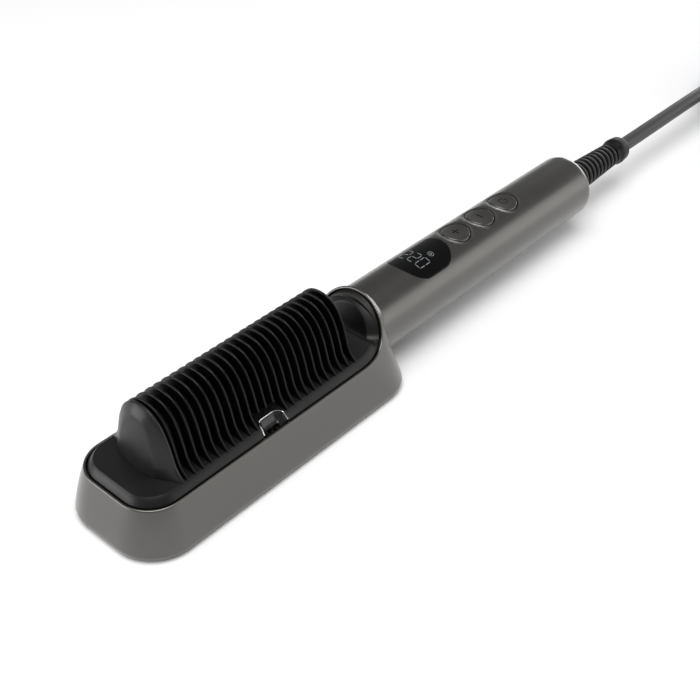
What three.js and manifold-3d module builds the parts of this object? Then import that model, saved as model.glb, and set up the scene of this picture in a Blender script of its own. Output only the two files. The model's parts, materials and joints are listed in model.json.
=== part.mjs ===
// Heated hair-straightening comb with an ion outlet, lying on its back with the comb up.
// Millimetres, +Z up. Inside the assembly X runs from the head's tip (x = 0) to the cord,
// and the whole assembly is then moved so that the origin is under the middle of the handset.
import * as THREE from 'three';
import { mergeVertices } from 'three/addons/utils/BufferGeometryUtils.js';
import Module from 'manifold-3d';

const wasm = await Module();
wasm.setup();

// ---------------------------------------------------------------- driving dimensions
const GAP = 0.3; // clearance between pieces that touch
const AXIS_Z = 19.5; // height of the handle's axis
const HEAD = { tip: 0, end: 121, halfWidth: 19.9, corner: 12.1, rimZ: 19.75 };
const SHELL = {
  lip: 1.4, endX: 129.6, floor: 2.2, wall: 1.6,
  bottomHalfWidth: 25.6, bottomTip: -6, bottomEnd: 132.8, bottomZ: 2.5, bottomRound: 1.5,
};
const BEZEL = { chamfer: 2.2, plateauZ: 22.6, undersideZ: 14 };
const ARCH = { lean: 0.36, footX: 116.2, footZ: 22.6, wall: 4, radius: 13.9, hoodRadius: 16.2, topX: 126.4 };
const COMB = { count: 24, firstX: 19.1, pitch: 3.643, thickness: 1.2, footZ: BEZEL.plateauZ + GAP };
const OUTLET = { x0: 53, x1: 64.8, depth: 5.4, wall: 0.8, shortFins: [11, 12, 13] };
const HANDLE = { startRadius: 15, endRadius: 14.4, startX: 121, endX: 273.4, wall: 1.8, round: 4.2 };
const DISPLAY = { centreX: 162, length: 28, width: 21.2, corner: 9.6 };
const BUTTON = {
  firstX: 186, pitch: 16.95, radius: 6.3, dish: 8, dishDepth: 0.5, names: ['plus', 'minus', 'power'],
};
const NECK = { radius: 11.2, bore: 9, startX: 125, endX: 136 };
const RELIEF = {
  endX: 321, rootRadius: 7.4, tipRadius: 5.8, ribs: 10, ribPitch: 3.8, groove: 0.9, collar: 6.4,
};
const CORD = { diameter: 7, sides: 10 };
const HANK = { x0: 456, x1: 576, y: -14, innerRadius: 17.5, outerRadius: 31.5, height: 3 * CORD.diameter };
const PLUG = {
  rearX: 500, y: HANK.y, z: 8, length: 34, halfWidth: 13, halfHeight: 7,
  pinLength: 19, pinRadius: 2.4, pinSpacing: 19,
};
const ORIGIN_X = (SHELL.bottomTip + RELIEF.endX) / 2;

// ---------------------------------------------------------------- materials
const finish = (color, roughness, metalness) => new THREE.MeshStandardMaterial({ color, roughness, metalness });
const gunmetal = () => finish(0x5f5e5b, 0.38, 0.85);
const mattBlack = () => finish(0x17171a, 0.55, 0);
const glossBlack = () => finish(0x08080a, 0.12, 0);
const blackRubber = () => finish(0x131314, 0.6, 0);
const cordGrey = () => finish(0x37383a, 0.55, 0);
const brightSteel = () => finish(0xb9babb, 0.28, 1);
const aluminium = () => finish(0x2a2a2c, 0.45, 0.6);
const ceramic = () => finish(0xe4dfd2, 0.7, 0);
const boardGreen = () => finish(0x1f5b38, 0.6, 0);
const naturalPlastic = () => finish(0x8a8a86, 0.6, 0);

// ---------------------------------------------------------------- solids
function toSolid(geometry) {
  geometry.deleteAttribute('normal');
  geometry.deleteAttribute('uv');
  const merged = mergeVertices(geometry, 1e-4);
  const vertProperties = new Float32Array(merged.attributes.position.array);
  const triVerts = new Uint32Array(merged.index.array);
  return new wasm.Manifold(new wasm.Mesh({ numProp: 3, vertProperties, triVerts }));
}

function toMesh(name, solid, material) {
  const { vertProperties, triVerts } = solid.getMesh();
  const geometry = new THREE.BufferGeometry();
  geometry.setAttribute('position', new THREE.BufferAttribute(new Float32Array(vertProperties), 3));
  geometry.setIndex(new THREE.BufferAttribute(new Uint32Array(triVerts), 1));
  geometry.computeVertexNormals();
  const mesh = new THREE.Mesh(geometry, material);
  mesh.name = name;
  return mesh;
}

function block(x0, x1, y0, y1, z0, z1) {
  const box = new THREE.BoxGeometry(x1 - x0, y1 - y0, z1 - z0);
  return toSolid(box.translate((x0 + x1) / 2, (y0 + y1) / 2, (z0 + z1) / 2));
}

// A round bar along X, on the handle's axis unless another centre is given.
function bar(x0, x1, r0, r1 = r0, { y = 0, z = AXIS_Z, sides = 40 } = {}) {
  const cylinder = new THREE.CylinderGeometry(r1, r0, x1 - x0, sides);
  return toSolid(cylinder.rotateZ(-Math.PI / 2).translate((x0 + x1) / 2, y, z));
}

function post(x, y, z0, z1, radius, sides = 32) {
  const cylinder = new THREE.CylinderGeometry(radius, radius, z1 - z0, sides);
  return toSolid(cylinder.rotateX(Math.PI / 2).translate(x, y, (z0 + z1) / 2));
}

// A body of revolution about the handle's axis; the profile's points are [x, radius].
function turned(profile, sides = 40) {
  const points = profile.map(([x, radius]) => new THREE.Vector2(radius, x));
  const lathe = new THREE.LatheGeometry(points, sides);
  return toSolid(lathe.rotateZ(-Math.PI / 2).translate(0, 0, AXIS_Z));
}

function roundedOutline(x0, x1, halfWidth, corner) {
  const outline = new THREE.Shape();
  outline.absarc(x1 - corner, halfWidth - corner, corner, 0, Math.PI / 2);
  outline.absarc(x0 + corner, halfWidth - corner, corner, Math.PI / 2, Math.PI);
  outline.absarc(x0 + corner, corner - halfWidth, corner, Math.PI, Math.PI * 1.5);
  outline.absarc(x1 - corner, corner - halfWidth, corner, Math.PI * 1.5, Math.PI * 2);
  outline.closePath();
  return outline;
}

function prism(outline, z0, z1, curveSegments = 7) {
  const options = { depth: z1 - z0, bevelEnabled: false, curveSegments };
  return toSolid(new THREE.ExtrudeGeometry(outline, options).translate(0, 0, z0));
}

// A polygon in the YZ plane, given as [y, z] points, swept along X.
function sweptX(points, x0, x1) {
  const shape = new THREE.Shape(points.map(([y, z]) => new THREE.Vector2(y, z)));
  const geometry = new THREE.ExtrudeGeometry(shape, { depth: x1 - x0, bevelEnabled: false });
  geometry.rotateX(Math.PI / 2).rotateZ(Math.PI / 2);
  return toSolid(geometry.translate(x0, 0, 0));
}

// A polygon in the XZ plane, given as [x, z] points, as wide as 2 * halfWidth in Y.
function slabY(points, halfWidth) {
  const shape = new THREE.Shape(points.map(([x, z]) => new THREE.Vector2(x, z)));
  const geometry = new THREE.ExtrudeGeometry(shape, { depth: 2 * halfWidth, bevelEnabled: false });
  return toSolid(geometry.rotateX(Math.PI / 2).translate(0, halfWidth, 0));
}

// A tray-like solid whose rounded outline changes size from level to level.
function flared(levels, corner) {
  const base = levels[levels.length - 1];
  const outline = roundedOutline(base.x0, base.x1, base.halfWidth, corner);
  const steps = levels.length - 1;
  const options = { depth: steps, steps, bevelEnabled: false, curveSegments: 7 };
  const geometry = new THREE.ExtrudeGeometry(outline, options);
  const position = geometry.attributes.position;
  for (let i = 0; i < position.count; i += 1) {
    const level = levels[Math.round(position.getZ(i))];
    const along = (position.getX(i) - base.x0) / (base.x1 - base.x0);
    const across = position.getY(i) / base.halfWidth;
    position.setXYZ(i, level.x0 + along * (level.x1 - level.x0), across * level.halfWidth, level.z);
  }
  return toSolid(geometry);
}

// ---------------------------------------------------------------- head
// The end of the head leans back towards the handle: x of that face at a height.
const leaningX = (z) => ARCH.footX + ARCH.lean * (z - ARCH.footZ);

function leaningSlab(from, to, z0, z1, halfWidth) {
  return slabY([
    [leaningX(z0) + from, z0], [leaningX(z0) + to, z0],
    [leaningX(z1) + to, z1], [leaningX(z1) + from, z1],
  ], halfWidth);
}

function shellEnvelope() {
  const s = SHELL;
  const rimHalfWidth = HEAD.halfWidth + s.lip;
  const inset = (z, by) => ({
    z, x0: s.bottomTip + by, x1: s.bottomEnd - by, halfWidth: s.bottomHalfWidth - by,
  });
  const tray = flared([
    inset(0, s.bottomRound), inset(0.7, 0.45), inset(s.bottomZ, 0),
    { z: HEAD.rimZ, x0: HEAD.tip - s.lip, x1: s.endX, halfWidth: rimHalfWidth },
  ], HEAD.corner + s.lip);
  const hoodTop = AXIS_Z + ARCH.hoodRadius + 1;
  const hoodProfile = [
    [leaningX(HEAD.rimZ) + 2, HEAD.rimZ - 6], [s.endX + 1, HEAD.rimZ - 6],
    [s.endX, HEAD.rimZ], [ARCH.topX, hoodTop], [leaningX(hoodTop) + 2, hoodTop],
  ];
  return tray.add(slabY(hoodProfile, ARCH.hoodRadius + 1).intersect(bar(100, 135, ARCH.hoodRadius)));
}

function headShell() {
  const s = SHELL;
  const cavity = flared([
    { z: s.floor, x0: s.bottomTip + s.wall, x1: s.bottomEnd - 4, halfWidth: s.bottomHalfWidth - s.wall },
    { z: HEAD.rimZ + 1, x0: HEAD.tip, x1: HEAD.end, halfWidth: HEAD.halfWidth },
  ], HEAD.corner);
  const archRoom = bar(104, NECK.startX - GAP, ARCH.radius + GAP);
  const neckBore = bar(110, 140, NECK.radius + GAP);
  let shell = shellEnvelope().subtract(cavity).subtract(archRoom).subtract(neckBore);
  for (const x of SCREW_X) {
    shell = shell.subtract(post(x, 0, -1, s.floor + 1, 1.5, 16)).subtract(post(x, 0, -1, 1.2, 2.8, 20));
  }
  return toMesh('head_shell', shell, gunmetal());
}

function outletCut(margin) {
  const [y0, y1] = [-HEAD.halfWidth - 2, OUTLET.depth - HEAD.halfWidth + margin];
  return block(OUTLET.x0 - margin, OUTLET.x1 + margin, y0, y1,
    BEZEL.undersideZ - 1, BEZEL.plateauZ + 5);
}

function headBezel() {
  const side = HEAD.halfWidth - GAP;
  const top = BEZEL.chamfer;
  let bezel = flared([
    { z: BEZEL.undersideZ, x0: GAP, x1: HEAD.end - GAP, halfWidth: side },
    { z: HEAD.rimZ, x0: GAP, x1: HEAD.end - GAP, halfWidth: side },
    { z: BEZEL.plateauZ, x0: GAP + top, x1: HEAD.end - GAP - top, halfWidth: side - top },
  ], HEAD.corner);
  const wallTop = AXIS_Z + ARCH.radius + 2;
  const wall = leaningSlab(0, ARCH.wall, BEZEL.undersideZ + 2, wallTop, ARCH.radius + 1);
  bezel = bezel.add(wall.intersect(bar(100, NECK.startX - 2 * GAP, ARCH.radius)));
  bezel = bezel.subtract(block(HEATER.x0 - GAP, HEATER.x1 + GAP, -HEATER.slot, HEATER.slot, 0, 40));
  bezel = bezel.subtract(outletCut(GAP));
  for (const x of SCREW_X) {
    bezel = bezel.add(post(x, 0, 4, BEZEL.undersideZ + 1, 3.4, 20)).subtract(post(x, 0, 0, 12, 1.3, 16));
  }
  return toMesh('head_bezel', bezel, mattBlack());
}

const SCREW_X = [8.5, 110.5];

function headScrew(x, index) {
  const shank = post(x, 0, 0.5, 11, 1, 12);
  return toMesh(`head_screw_${index + 1}`, shank.add(post(x, 0, 0.3, 1, 2.5, 16)), brightSteel());
}

// ---------------------------------------------------------------- comb
// Half of a comb arch, from its crown down to the foot: [half width, height above the axis].
const ARCH_OUTER = [
  [0, 27.3], [2.8, 26.9], [5.4, 25.6], [9.4, 22], [11.9, 17], [13.9, 10.8], [14.8, 7.6], [16.3, 5.1], [18, 3.4],
];
const ARCH_INNER = [[13.2, 3.4], [11.6, 7.4], [10.6, 11], [8.7, 16.4], [6.3, 20.4], [3, 23], [0, 23.7]];
const HEATER = { x0: 18.2, x1: 104.2, slot: 12.4, bottomZ: 15.8, wall: 2.4 };

const mirrored = (half) => half.filter(([y]) => y > 0).map(([y, z]) => [-y, z]).reverse();
const onAxis = (points) => points.map(([y, z]) => [y, AXIS_Z + z]);

function combArch() {
  const outer = [...mirrored(ARCH_OUTER), ...ARCH_OUTER];
  const inner = [...ARCH_INNER, ...mirrored([...ARCH_INNER].reverse()).reverse()];
  return onAxis([...outer, ...inner]);
}

function combFin(index) {
  const x = COMB.firstX + index * COMB.pitch;
  let fin = sweptX(combArch(), x - COMB.thickness / 2, x + COMB.thickness / 2);
  if (OUTLET.shortFins.includes(index + 1)) {
    fin = fin.subtract(block(x - 2, x + 2, -25, OUTLET.depth - HEAD.halfWidth + 2, 15, 27));
  }
  return toMesh(`comb_fin_${String(index + 1).padStart(2, '0')}`, fin, mattBlack());
}

// The scoop-shaped cap that closes the comb at the tip: wide at its back, leaning back as it rises.
function frontCap() {
  const backX = COMB.firstX - COMB.thickness / 2 - 0.9;
  const outer = onAxis([...mirrored(ARCH_OUTER), ...ARCH_OUTER]);
  const frontX = (z) => 11.6 + 0.1 * (z - COMB.footZ) + 0.002 * (z - COMB.footZ) ** 2;
  const heights = [COMB.footZ, 28, 34, 40, 44, 48];
  const side = [...heights.map((z) => [frontX(z), z]), [backX, 48], [backX, COMB.footZ]];
  const nose = new THREE.CylinderGeometry(22, 22, 40, 48).rotateX(Math.PI / 2).translate(33.2, 0, 35);
  const cap = sweptX(outer, 5, backX).intersect(slabY(side, 30)).intersect(toSolid(nose));
  return toMesh('front_cap', cap, mattBlack());
}

function heaterCore() {
  const shrink = (by) => ARCH_INNER.map(([y, z]) => [Math.max(0, y - by), z - by]).reverse();
  const outline = (by, bottom) => {
    const half = shrink(by).filter(([, z]) => z > 5);
    half.push([half[half.length - 1][0], bottom - AXIS_Z]);
    return onAxis([...mirrored(half), ...half]);
  };
  const outer = sweptX(outline(0.35, HEATER.bottomZ), HEATER.x0, HEATER.x1);
  const inner = sweptX(outline(0.35 + HEATER.wall, HEATER.bottomZ - 1), HEATER.x0 + 2, HEATER.x1 - 2);
  return toMesh('heater_core', outer.subtract(inner), aluminium());
}

function ptcElement(x0, index) {
  return toMesh(`ptc_element_${index + 1}`, block(x0, x0 + 32, -4.5, 4.5, 31, 34), ceramic());
}

function thermalFuse() {
  return toMesh('thermal_fuse', bar(56, 68, 1.8, 1.8, { z: 27, sides: 16 }), brightSteel());
}

function heatShield() {
  return toMesh('heat_shield', block(HEATER.x0, HEATER.x1, -11.8, 11.8, 14.1, 15.3), naturalPlastic());
}

// ---------------------------------------------------------------- ion outlet
function ionOutlet() {
  const { x0, x1, wall } = OUTLET;
  const inner = OUTLET.depth - HEAD.halfWidth;
  const near = GAP - HEAD.halfWidth;
  const face = slabFollowingChamfer(x0, x1, near, inner);
  const frame = face.subtract(block(x0 + wall, x1 - wall, -30, inner - wall, 10, 30));
  const cupFace = block(x0 + wall + GAP, x1 - wall - GAP, near, inner - wall - GAP, 15, 19.4);
  const mid = (x0 + x1) / 2;
  const cup = cupFace.subtract(post(mid, (near + inner) / 2, 16.5, 25, 1.9, 20));
  const needle = post(mid, (near + inner) / 2, 16.8, 19.6, 0.4, 10);
  return [
    toMesh('ion_outlet_frame', frame, brightSteel()),
    toMesh('ion_outlet_cup', cup, glossBlack()),
    toMesh('ion_needle', needle, brightSteel()),
  ];
}

// A block whose top follows the bezel's chamfer and then its flat.
function slabFollowingChamfer(x0, x1, y0, y1) {
  const crown = BEZEL.plateauZ + 0.4;
  return sweptX([[y0, 16], [y1, 16], [y1, crown], [y0 + BEZEL.chamfer, crown], [y0, HEAD.rimZ + 0.4]], x0, x1);
}

function ionGenerator() {
  return toMesh('ion_generator', block(46, 72, -17, -4, 3, 12), naturalPlastic());
}

// ---------------------------------------------------------------- handle
const handleRadius = (x) => {
  const along = (x - HANDLE.startX) / (HANDLE.endX - HANDLE.startX);
  return HANDLE.startRadius + along * (HANDLE.endRadius - HANDLE.startRadius);
};

const displayOutline = (margin) => roundedOutline(
  DISPLAY.centreX - DISPLAY.length / 2 - margin, DISPLAY.centreX + DISPLAY.length / 2 + margin,
  DISPLAY.width / 2 + margin, DISPLAY.corner + margin,
);

const buttonX = (index) => BUTTON.firstX + index * BUTTON.pitch;

function handleSleeve() {
  const { startX, endX, wall, round } = HANDLE;
  const innerEnd = endX - 5.4;
  const corner = [0, 22.5, 45, 67.5, 90].map((degrees) => {
    const turn = THREE.MathUtils.degToRad(degrees);
    return [endX - round + round * Math.sin(turn), handleRadius(endX) - round + round * Math.cos(turn)];
  });
  let sleeve = turned([
    [startX, handleRadius(startX) - wall], [startX, handleRadius(startX)], ...corner,
    [endX, DRUM.hub + GAP], [innerEnd, DRUM.hub + GAP], [innerEnd, handleRadius(innerEnd) - wall],
    [startX, handleRadius(startX) - wall],
  ]);
  sleeve = sleeve.subtract(shellEnvelope().translate([GAP, 0, 0]));
  sleeve = sleeve.subtract(block(100, 124, -20, 20, 0, 60));
  sleeve = sleeve.subtract(prism(displayOutline(GAP), AXIS_Z + 2, AXIS_Z + 20));
  BUTTON.names.forEach((name, index) => {
    const x = buttonX(index);
    const recess = post(x, 0, AXIS_Z + 2, AXIS_Z + 20, BUTTON.dish, 36);
    sleeve = sleeve.subtract(recess.subtract(bar(x - 12, x + 12, handleRadius(x) - BUTTON.dishDepth)));
    sleeve = sleeve.subtract(post(x, 0, AXIS_Z + 2, AXIS_Z + 20, BUTTON.radius + GAP, 32));
  });
  return toMesh('handle_sleeve', sleeve, gunmetal());
}

function displayWindow() {
  const { centreX, length } = DISPLAY;
  const [x0, x1] = [centreX - length / 2 - 1, centreX + length / 2 + 1];
  const skin = bar(x0, x1, handleRadius(x0), handleRadius(x1)).subtract(bar(x0 - 1, x1 + 1, 13.3));
  const window = skin.intersect(prism(displayOutline(0), AXIS_Z + 2, AXIS_Z + 20, 10));
  return toMesh('display_window', window, glossBlack());
}

function pushButton(name, index) {
  const x = buttonX(index);
  const cap = post(x, 0, AXIS_Z + 10.4, AXIS_Z + 20, BUTTON.radius, 32)
    .intersect(bar(x - 10, x + 10, handleRadius(x) - 0.1));
  const stem = post(x, 0, AXIS_Z + 7.8, AXIS_Z + 11, 1.6, 16);
  return toMesh(`${name}_button`, cap.add(stem), gunmetal());
}

function tactSwitch(index) {
  const x = buttonX(index);
  const top = AXIS_Z + BOARD.top + GAP;
  const body = block(x - 3, x + 3, -3, 3, top, AXIS_Z + 4);
  const plunger = post(x, 0, AXIS_Z + 3, AXIS_Z + 6.9, 1.7, 16);
  return toMesh(`tact_switch_${index + 1}`, body.add(plunger), mattBlack());
}

const BOARD = { x0: 142, x1: 256, halfWidth: 8, bottom: -3.6, top: -2 };

function controlBoard() {
  const { x0, x1, halfWidth, bottom, top } = BOARD;
  const board = block(x0, x1, -halfWidth, halfWidth, AXIS_Z + bottom, AXIS_Z + top);
  return toMesh('control_board', board, boardGreen());
}

function displayModule() {
  const bottom = AXIS_Z + BOARD.top + GAP;
  return toMesh('display_module', block(150, 174, -7.5, 7.5, bottom, AXIS_Z + 9.2), naturalPlastic());
}

function handleChassis() {
  const neck = bar(NECK.startX, NECK.endX, NECK.radius).subtract(bar(100, 150, NECK.bore));
  const floor = block(NECK.endX - 3, BOARD.x1 + 2, -8.5, 8.5, AXIS_Z - 8.4, AXIS_Z - 5);
  const ledge = block(BOARD.x0, BOARD.x1, -2, 2, AXIS_Z - 6, AXIS_Z + BOARD.bottom - GAP);
  return toMesh('handle_chassis', neck.add(floor).add(ledge), naturalPlastic());
}

// ---------------------------------------------------------------- cord outlet
const DRUM = { hub: 8.2, flange: 11, x0: 260, x1: 267.6 };

function swivelDrum() {
  const hub = HANDLE.endX - 0.2;
  return toMesh('swivel_drum', turned([
    [DRUM.x0, 0], [DRUM.x0, DRUM.flange], [DRUM.x1, DRUM.flange],
    [DRUM.x1, DRUM.hub], [hub, DRUM.hub], [hub, 0],
  ]), mattBlack());
}

function strainRelief() {
  const { endX, rootRadius, tipRadius, ribs, ribPitch, groove, collar } = RELIEF;
  const start = HANDLE.endX + 0.2;
  const profile = [[start, 0], [start, rootRadius]];
  for (let rib = 0; rib < ribs; rib += 1) {
    const x = start + 1.6 + rib * ribPitch;
    const radius = rootRadius + (tipRadius - rootRadius) * (rib / ribs);
    profile.push([x, radius], [x + 0.3, radius - groove], [x + 1.4, radius - groove], [x + 1.7, radius]);
  }
  const collarX = start + 1.6 + ribs * ribPitch;
  profile.push([collarX, tipRadius], [collarX + 1.6, collar], [endX - 2.4, collar], [endX, 4.6], [endX, 0]);
  return toMesh('strain_relief', turned(profile, 18), blackRubber());
}

// ---------------------------------------------------------------- cord and plug
// The lead leaves straight and runs on to the top of the hank, and the tail crosses the hank's
// opening to the plug that lies in it.
const CORD_ROUTE = [
  [RELIEF.endX + GAP, 0, AXIS_Z], [340, 0, AXIS_Z], [360, 0, AXIS_Z], [380, 0, AXIS_Z],
  [398, 0, 19.4], [406, 0, 19.2], [414, 0.7, 18.9], [424, 3.5, 18.4],
];
const TAIL_ROUTE = [
  [475.4, -0.7, 9], [478, -3.5, 8.8], [483.8, -8.9, 8.4], [490.3, -12.3, 8.1], [495.1, -13.6, PLUG.z],
  [PLUG.rearX - GAP, PLUG.y, PLUG.z],
];

function cordTube(name, route, steps) {
  const section = new THREE.Shape();
  for (let i = 0; i < CORD.sides; i += 1) {
    const turn = (2 * Math.PI * (i + 0.5)) / CORD.sides;
    const corner = [(CORD.diameter / 2) * Math.cos(turn), (CORD.diameter / 2) * Math.sin(turn)];
    if (i === 0) section.moveTo(...corner);
    else section.lineTo(...corner);
  }
  section.closePath();
  const points = route.map((point) => new THREE.Vector3(...point));
  const extrudePath = new THREE.CatmullRomCurve3(points, false, 'centripetal');
  return toMesh(name, toSolid(new THREE.ExtrudeGeometry(section, { extrudePath, steps })), cordGrey());
}

// The folded lead: a ring with long sides and round ends.
function cordHank() {
  const { x0, x1, y, innerRadius, outerRadius, height } = HANK;
  const outer = prism(roundedOutline(x0 - outerRadius, x1 + outerRadius, outerRadius, outerRadius), 0, height);
  const inner = roundedOutline(x0 - innerRadius, x1 + innerRadius, innerRadius, innerRadius);
  const opening = prism(inner, -1, height + 1);
  return toMesh('cord_coil', outer.subtract(opening).translate([0, y, 0]), cordGrey());
}

// A strap over one side of the hank, down to the table on both sides of it.
function cordTie() {
  const { x0, x1, y, innerRadius, outerRadius, height } = HANK;
  const middle = (x0 + x1) / 2;
  const [y0, y1] = [y - outerRadius - 0.4, y - innerRadius + 0.4];
  const outer = block(middle - 5, middle + 5, y0 - 1.2, y1 + 1.2, GAP / 2, height + 1.5);
  const inside = block(middle - 6, middle + 6, y0, y1, -1, height + GAP);
  return toMesh('cord_tie', outer.subtract(inside), blackRubber());
}

function plugBody() {
  const { rearX, y, z, length, halfWidth, halfHeight } = PLUG;
  const grip = roundedOutline(rearX + 8, rearX + length, halfWidth, 6);
  const body = prism(grip, z - halfHeight, z + halfHeight).translate([0, y, 0]);
  const boot = bar(rearX, rearX + 12, 5, 6.8, { y, z, sides: 24 });
  return toMesh('plug_body', body.add(boot), blackRubber());
}

function plugPin(side, index) {
  const { rearX, y, z, length, pinLength, pinRadius, pinSpacing } = PLUG;
  const face = rearX + length;
  const pinY = y + (side * pinSpacing) / 2;
  const pin = bar(face + GAP, face + pinLength, pinRadius, pinRadius, { y: pinY, z, sides: 16 });
  return toMesh(`plug_pin_${index + 1}`, pin, brightSteel());
}

// ---------------------------------------------------------------- assembly
const assembly = new THREE.Group();
assembly.position.x = -ORIGIN_X;
assembly.add(headShell(), headBezel(), frontCap());
assembly.add(...SCREW_X.map(headScrew));
assembly.add(...Array.from({ length: COMB.count }, (_, index) => combFin(index)));
assembly.add(heaterCore(), thermalFuse(), heatShield(), ...[24, 62].map(ptcElement));
assembly.add(...ionOutlet(), ionGenerator());
assembly.add(handleSleeve(), handleChassis(), displayWindow(), displayModule(), controlBoard());
BUTTON.names.forEach((name, index) => assembly.add(pushButton(name, index), tactSwitch(index)));
assembly.add(swivelDrum(), strainRelief());
assembly.add(cordTube('cord_run', CORD_ROUTE, 12), cordTube('cord_tail', TAIL_ROUTE, 8));
assembly.add(cordHank(), cordTie(), plugBody(), ...[-1, 1].map(plugPin));

const part = new THREE.Group();
part.add(assembly);
export default part;
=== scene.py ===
"""Looks for a heated hair-straightening comb that lies on its back with its comb plates up.

Lengths are millimetres in the head's own frame: x runs from the tip of the head's rim towards the
cord, y to the side away from the ion outlet, z up from the table. at() turns a point into metres in
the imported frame.
"""

import json
import math

import bmesh
import bpy
from mathutils import Matrix, Vector


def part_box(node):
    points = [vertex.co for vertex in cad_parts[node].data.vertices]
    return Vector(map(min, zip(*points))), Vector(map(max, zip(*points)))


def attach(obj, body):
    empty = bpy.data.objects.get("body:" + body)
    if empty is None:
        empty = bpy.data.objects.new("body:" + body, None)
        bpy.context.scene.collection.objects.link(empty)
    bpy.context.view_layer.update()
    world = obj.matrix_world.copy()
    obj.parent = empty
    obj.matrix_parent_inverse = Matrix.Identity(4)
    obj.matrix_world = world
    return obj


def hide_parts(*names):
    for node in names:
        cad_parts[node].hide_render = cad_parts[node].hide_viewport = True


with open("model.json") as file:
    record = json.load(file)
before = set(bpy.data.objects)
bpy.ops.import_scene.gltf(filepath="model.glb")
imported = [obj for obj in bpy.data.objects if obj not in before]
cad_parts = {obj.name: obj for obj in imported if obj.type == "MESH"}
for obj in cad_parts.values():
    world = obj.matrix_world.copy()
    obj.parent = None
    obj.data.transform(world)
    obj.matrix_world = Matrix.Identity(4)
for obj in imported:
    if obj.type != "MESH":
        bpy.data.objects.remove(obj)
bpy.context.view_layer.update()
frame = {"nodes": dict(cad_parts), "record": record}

# ---------------------------------------------------------------- driving dimensions (mm)
SHELL_TIP = -6.0
ORIGIN = SHELL_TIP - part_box("head_shell")[0].x * 1000
AXIS_Z = 19.5
RIM_Z = 19.75
GROOVE = 0.5  # gap between the black bezel and the metal shell
LIP = 1.1  # thickness of the shell's rim
HEAD_HALF_WIDTH = 19.7
HEAD_CORNER = 12.1
SIDE_END_X = 104.0
SHELL_HALF_WIDTH = 25.5
SHELL_CORNER = 16.9
SHELL_END = 132.7
CHAMFER_IN = 2.2
CHAMFER_UP = 2.85
CHAMFER_SPREAD = 0.65  # how much wider the chamfer is on the arch
ARCH_TILT = 0.66  # 1 minus the z of the arch's own normal
BASE_ROUND_UP, BASE_ROUND_IN = 2.6, 2.2  # the shell's rounded lower edge
ARCH_RADIUS = 15.4
ARCH_FOOT_DEGREES = 22.0  # where the round of the arch ends and its foot starts to flare
ARCH_STEPS, FOOT_STEPS, SIDE_STEPS, CORNER_STEPS, TIP_STEPS = 22, 18, 40, 18, 6
LEAN = 0.36  # how far the arch leans towards the cord for each millimetre of height
LEAN_FOOT_X = 118.2
DECK_Z = 22.6
SCREW_X = (8.5, 110.5)
SCREW_WELL_R = 2.8
FIN_COUNT = 24
FIN_FIRST_X = 19.1
FIN_PITCH = 3.643
FIN_THICKNESS = 1.15
SHORT_FINS = (11, 12, 13)
OUTLET_X0, OUTLET_X1 = 53.0, 64.8
OUTLET_DEPTH = 5.4
HANDLE_START, HANDLE_END = 121.0, 273.4
HANDLE_R0, HANDLE_R1 = 15.0, 14.4
HANDLE_ROUND = 4.2
DISPLAY_X, DISPLAY_LENGTH, DISPLAY_WIDTH, DISPLAY_CORNER = 162.0, 28.0, 21.2, 9.6
BUTTON_X, BUTTON_PITCH, BUTTON_R, DISH_R = 186.0, 16.95, 6.25, 8.2
WELL_R = BUTTON_R + 0.42
WELL_DEPTH = 5.5
BUTTON_SIDES = 96
ICON_DEPTH = 0.00042  # metres
READOUT = "220"
SEGMENT_GAP = 0.09  # share of a segment left open at each end
SEGMENTS = {"2": "abged", "0": "abcdef"}
RELIEF_END = 321.0
CORD_D = 7.0
HANK_X0, HANK_X1, HANK_Y = 456.0, 575.8, -14.0
FOLD_OUTER, FOLD_INNER = 28.0, 21.0
PLUG_REAR_X, PLUG_Y, PLUG_Z = 500.0, -14.0, 8.0
PLUG_LENGTH, PLUG_HALF_WIDTH, PIN_SPACING = 34.0, 13.0, 19.0


def at(x, y, z):
    return Vector(((x - ORIGIN) / 1000, y / 1000, z / 1000))


def lerp(a, b, t):
    return a + (b - a) * t


def smoothstep(t):
    t = min(1.0, max(0.0, t))
    return t * t * (3 - 2 * t)


def full_turn(count):
    return [2 * math.pi * i / count for i in range(count)]


# ---------------------------------------------------------------- mesh helpers
def new_object(name, mesh):
    obj = bpy.data.objects.new(name, mesh)
    bpy.context.scene.collection.objects.link(obj)
    return obj


def finish_mesh(obj, sharp_degrees=35):
    mesh = obj.data
    work = bmesh.new()
    work.from_mesh(mesh)
    bmesh.ops.recalc_face_normals(work, faces=work.faces)
    work.to_mesh(mesh)
    work.free()
    mesh.shade_smooth()
    mesh.set_sharp_from_angle(angle=math.radians(sharp_degrees))
    return obj


def mesh_of(name, points, faces, sharp_degrees=35):
    mesh = bpy.data.meshes.new(name)
    mesh.from_pydata([at(*p) for p in points], [], faces)
    mesh.update()
    return finish_mesh(new_object(name, mesh), sharp_degrees)


def skin_faces(row_count, count, spans):
    """Four-sided faces between neighbouring rows of count points."""
    faces = []
    for r in range(row_count - 1):
        for i in range(spans):
            j = (i + 1) % count
            faces.append((r * count + i, r * count + j, (r + 1) * count + j, (r + 1) * count + i))
    return faces


def loft(name, rows, cap_first=True, cap_last=True, closed=True, sharp_degrees=35):
    """A skin through rows of points, each row the same length; rows close on themselves."""
    count = len(rows[0])
    points = [p for row in rows for p in row]
    faces = skin_faces(len(rows), count, count if closed else count - 1)
    if cap_first:
        faces.append(tuple(reversed(range(count))))
    if cap_last:
        faces.append(tuple((len(rows) - 1) * count + i for i in range(count)))
    return mesh_of(name, points, faces, sharp_degrees)


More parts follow.
